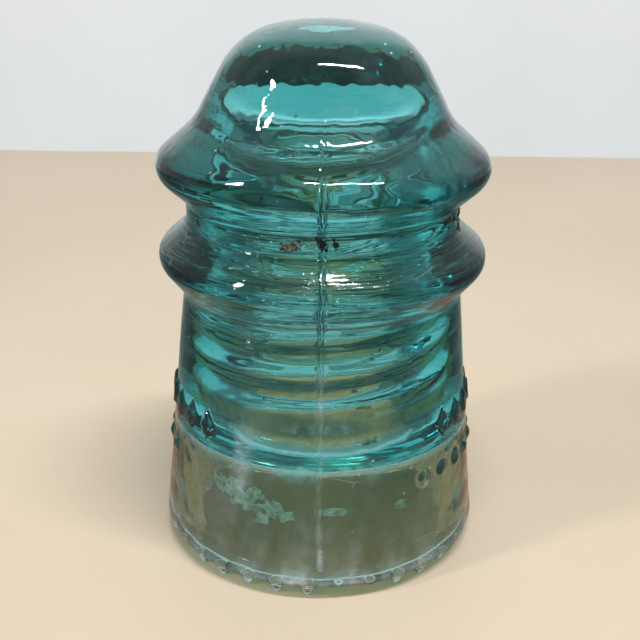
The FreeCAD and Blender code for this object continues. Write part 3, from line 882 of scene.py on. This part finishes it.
def scale_material():
    """Pale chalky scale that thins out unevenly and towards the edge of its patch."""
    material = bpy.data.materials.new("hard_water_scale")
    tree = Nodes(material)
    place = tree.place()
    grain = tree.noise(place, 900.0, 4.0, 0.7)
    colour = tree.ramp(grain, [(0.3, (0.62, 0.66, 0.58)), (0.7, (0.86, 0.88, 0.80))])
    chalk = tree.add("ShaderNodeBsdfPrincipled", Base_Color=colour, Roughness=0.95,
                  Normal=tree.bump(grain, 0.7, 0.0002))
    clear = tree.add("ShaderNodeBsdfTransparent")
    gaps = tree.window(tree.noise(place, 450.0, 4.0, 0.65), 0.35, 0.62, 0.7, 0.1)
    gaps = tree.math("MAXIMUM", gaps, tree.window(tree.attribute("cover"), 0.05, 0.3, 1.0, 0.0))
    tree.add("ShaderNodeOutputMaterial", Surface=tree.mix_shader(gaps, chalk.outputs[0], clear.outputs[0]))
    return material


def stage_material(name, low, high, near, far, glow):
    """Plain and pale to the camera; in the glass it shows in the deeper shades of a bench top.

    Those go from one shade beside the object to another further off, and are darkened by painted shade to the
    sides and towards the camera, where the camera would leave the bench in shadow.
    """
    material = bpy.data.materials.new(name)
    tree = Nodes(material)
    place = tree.place()
    white = (1, 1, 1, 1)
    mottle = tree.ramp(tree.noise(place, 9.0, 3.0), [(0.3, low), (0.7, high)])
    seen = tree.add("ShaderNodeBsdfPrincipled", Base_Color=mottle, Roughness=0.5, Emission_Color=white,
                 Emission_Strength=glow)
    reach = tree.vector_math("LENGTH", {0: place}, "Value")
    shade = tree.ramp(tree.window(reach, 0.04, 0.10), [(0.0, near), (1.0, far)])
    split = tree.add("ShaderNodeSeparateXYZ", Vector=place).outputs
    # Painted shade: the bench seen in the glass darkens towards the camera and to the sides.
    aside = tree.math("MULTIPLY", tree.math("ABSOLUTE", split["X"]), 1.6)
    painted_shade = tree.window(tree.math("SUBTRACT", split["Y"], aside), -0.15, 0.055, 0.12, 1.0, "LINEAR")
    faded = tree.vector_math("SCALE", {0: shade, "Scale": painted_shade})
    through = tree.add("ShaderNodeBsdfPrincipled", Base_Color=faded, Roughness=0.7, Emission_Color=white,
                    Emission_Strength=glow)
    straight = tree.nodes.new("ShaderNodeLightPath").outputs["Is Camera Ray"]
    surface = tree.mix_shader(straight, through.outputs[0], seen.outputs[0])
    tree.add("ShaderNodeOutputMaterial", Surface=surface)
    return material


# ---------------------------------------------------------------- object


def add_piece(name, mesh, material, node):
    """Puts a piece in the scene in place of the frame's node, on the one body."""
    piece = bpy.data.objects.new(name, mesh)
    bpy.context.scene.collection.objects.link(piece)
    mesh.materials.append(material)
    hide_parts(node)
    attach(piece, "root")


def add_object():
    """The glass, the rust in its groove and the scale in its hollow."""
    add_piece("glass_body_visual", build_glass_mesh(), glass_material(), "glass_body")
    rust = crust_mesh("rust_flecks", RUST_PATCHES, RUST_CELL, groove_radius, 1, RUST_THICK)
    add_piece("rust_flecks", rust, rust_material(), "rust_specks")
    scale = crust_mesh("scale_crust", SCALE_PATCHES, SCALE_CELL, hollow_radius, -1, SCALE_THICK)
    add_piece("scale_crust", scale, scale_material(), "scale_film")


# ---------------------------------------------------------------- stage


def add_plane(name, corners, material):
    mesh = bpy.data.meshes.new(name)
    mesh.from_pydata(corners, [], [(0, 1, 2, 3)])
    plane = bpy.data.objects.new(name, mesh)
    bpy.context.scene.collection.objects.link(plane)
    mesh.materials.append(material)


def add_stage():
    """A plain table top that ends behind the object, and a plain wall rising from there."""
    back_left = (-STAGE_HALF_WIDTH, STAGE_BACK, 0)
    back_right = (STAGE_HALF_WIDTH, STAGE_BACK, 0)
    add_plane("floor", [(-STAGE_HALF_WIDTH, STAGE_FRONT, 0), (STAGE_HALF_WIDTH, STAGE_FRONT, 0),
                        back_right, back_left], stage_material("floor", *FLOOR))
    add_plane("wall", [back_left, back_right, (STAGE_HALF_WIDTH, STAGE_BACK, WALL_TOP),
                       (-STAGE_HALF_WIDTH, STAGE_BACK, WALL_TOP)], stage_material("wall", *WALL))


def add_softbox(name, where, size, power, level):
    """A rectangular lamp aimed at the object; a level one keeps its long side along X."""
    lamp = bpy.data.lights.new(name, "AREA")
    lamp.shape = "RECTANGLE"
    lamp.size, lamp.size_y = size
    lamp.energy = power
    holder = bpy.data.objects.new(name, lamp)
    bpy.context.scene.collection.objects.link(holder)
    holder.location = where
    aim = Vector((0 if level else -where[0], -where[1], LAMP_TARGET - where[2]))
    holder.rotation_euler = aim.to_track_quat("-Z", "Y").to_euler()


def set_world():
    """Soft studio light, dim behind the camera and bright behind the object."""
    world = bpy.data.worlds.new("studio")
    bpy.context.scene.world = world
    tree = Nodes(world)
    heading = tree.nodes.new("ShaderNodeTexCoord").outputs["Generated"]
    ahead = tree.add("ShaderNodeSeparateXYZ", Vector=heading).outputs["Y"]
    light = tree.ramp(tree.window(ahead, -1, 1, kind="LINEAR"), [(0.45, WORLD_DARK), (0.75, WORLD_BRIGHT)])
    tree.add("ShaderNodeOutputWorld", Surface=tree.add("ShaderNodeBackground", Color=light).outputs[0])


def add_camera():
    data = bpy.data.cameras.new("camera")
    data.sensor_width = SENSOR
    data.lens = LENS
    data.shift_x = LENS_SHIFT
    data.clip_start = 0.01
    camera = bpy.data.objects.new("camera", data)
    bpy.context.scene.collection.objects.link(camera)
    camera.location = CAMERA_PLACE
    tilt = Matrix.Rotation(math.radians(90 - CAMERA_DOWN), 4, "X")
    roll = Matrix.Rotation(math.radians(CAMERA_ROLL), 4, "Z")
    camera.rotation_euler = (tilt @ roll).to_euler()
    bpy.context.scene.camera = camera


def set_rendering():
    """Enough bounces for the glass, and colours that come out as they are set."""
    cycles = bpy.context.scene.cycles
    cycles.use_denoising = True
    cycles.max_bounces = 24
    cycles.transmission_bounces = 24
    cycles.transparent_max_bounces = 32
    cycles.volume_bounces = 0
    bpy.context.scene.view_settings.view_transform = "Standard"


add_object()
add_stage()
set_world()
for lamp in LAMPS:
    add_softbox(*lamp)
add_camera()
set_rendering()
